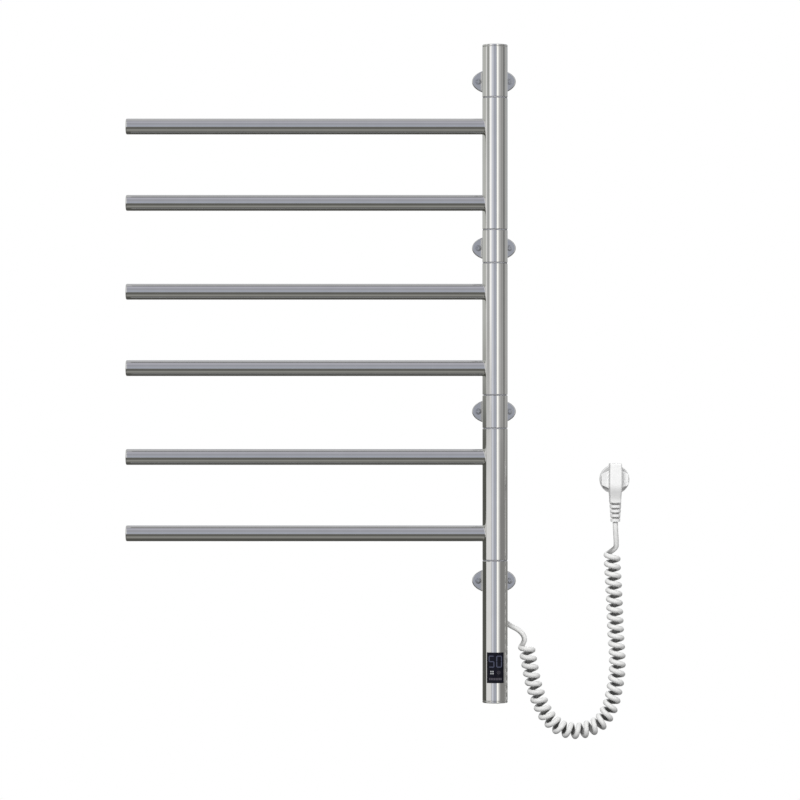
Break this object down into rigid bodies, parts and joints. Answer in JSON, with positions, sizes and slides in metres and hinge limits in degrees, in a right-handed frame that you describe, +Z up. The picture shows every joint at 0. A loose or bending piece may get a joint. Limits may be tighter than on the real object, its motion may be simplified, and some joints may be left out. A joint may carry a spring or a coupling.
{
  "type": "swivel towel warmer rack",
  "caption": "Wall-hung electric towel warmer: a polished steel post whose sections turn with pairs of round bars, with a touch display, a curly cord and an angled plug.",
  "frame": {"origin": "centre of the back face of the top wall plate, on the wall plane", "axes": "+Z up along the post, +Y into the wall, +X to the right for a person who faces the wall; the bars point along -X at rest"},
  "size_m": [0.6398, 0.0975, 0.882],
  "materials": {
    "polished_steel": "mirror polished",
    "screw_steel": "satin",
    "pin_brass": "nickel plated",
    "display_glass": "gloss",
    "dark_plastic": "matte",
    "circuit_board": "matte",
    "heater_silicone": "matte",
    "white_plastic": "satin"
  },
  "bodies": {
    "post": {"board_carrier": "dark_plastic", "bottom_cap": "polished_steel", "bracket_sleeve_lower": "polished_steel", "bracket_sleeve_top": "polished_steel", "bracket_sleeve_upper": "polished_steel", "control_tube": "polished_steel", "cord_coil": "white_plastic", "cord_gland": "white_plastic", "cord_lead": "white_plastic", "cord_tail": "white_plastic", "display_board": "circuit_board", "display_lens": "display_glass", "joint_bush_1": "dark_plastic", "joint_bush_2": "dark_plastic", "joint_bush_3": "dark_plastic", "joint_bush_4": "dark_plastic", "joint_bush_5": "dark_plastic", "joint_bush_6": "dark_plastic", "plug_body": "white_plastic", "plug_boot": "white_plastic", "plug_pin_1": "pin_brass", "plug_pin_2": "pin_brass", "power_board": "circuit_board", "spine_tube": "polished_steel", "standoff_1": "polished_steel", "standoff_2": "polished_steel", "standoff_3": "polished_steel", "standoff_4": "polished_steel", "top_cap": "polished_steel", "wall_plate_1": "polished_steel", "wall_plate_2": "polished_steel", "wall_plate_3": "polished_steel", "wall_plate_4": "polished_steel", "wall_screw_left_1": "screw_steel", "wall_screw_left_2": "screw_steel", "wall_screw_left_3": "screw_steel", "wall_screw_left_4": "screw_steel", "wall_screw_right_1": "screw_steel", "wall_screw_right_2": "screw_steel", "wall_screw_right_3": "screw_steel", "wall_screw_right_4": "screw_steel"},
    "swivel_1": {"bar_1_lower": "polished_steel", "bar_1_upper": "polished_steel", "bar_cap_1_lower": "polished_steel", "bar_cap_1_upper": "polished_steel", "heater_cable_1": "heater_silicone", "swivel_tube_1": "polished_steel"},
    "swivel_2": {"bar_2_lower": "polished_steel", "bar_2_upper": "polished_steel", "bar_cap_2_lower": "polished_steel", "bar_cap_2_upper": "polished_steel", "heater_cable_2": "heater_silicone", "swivel_tube_2": "polished_steel"},
    "swivel_3": {"bar_3_lower": "polished_steel", "bar_3_upper": "polished_steel", "bar_cap_3_lower": "polished_steel", "bar_cap_3_upper": "polished_steel", "heater_cable_3": "heater_silicone", "swivel_tube_3": "polished_steel"}
  },
  "joints": [
    {"name": "swivel_1_turn", "type": "hinge", "parent": "post", "child": "swivel_1", "pos_m": [0, -0.055, -0.1085], "axis": [0, 0, 1], "range_deg": [0, 180]},
    {"name": "swivel_2_turn", "type": "hinge", "parent": "post", "child": "swivel_2", "pos_m": [0, -0.055, -0.3175], "axis": [0, 0, 1], "range_deg": [0, 180]},
    {"name": "swivel_3_turn", "type": "hinge", "parent": "post", "child": "swivel_3", "pos_m": [0, -0.055, -0.5265], "axis": [0, 0, 1], "range_deg": [0, 180]}
  ]
}
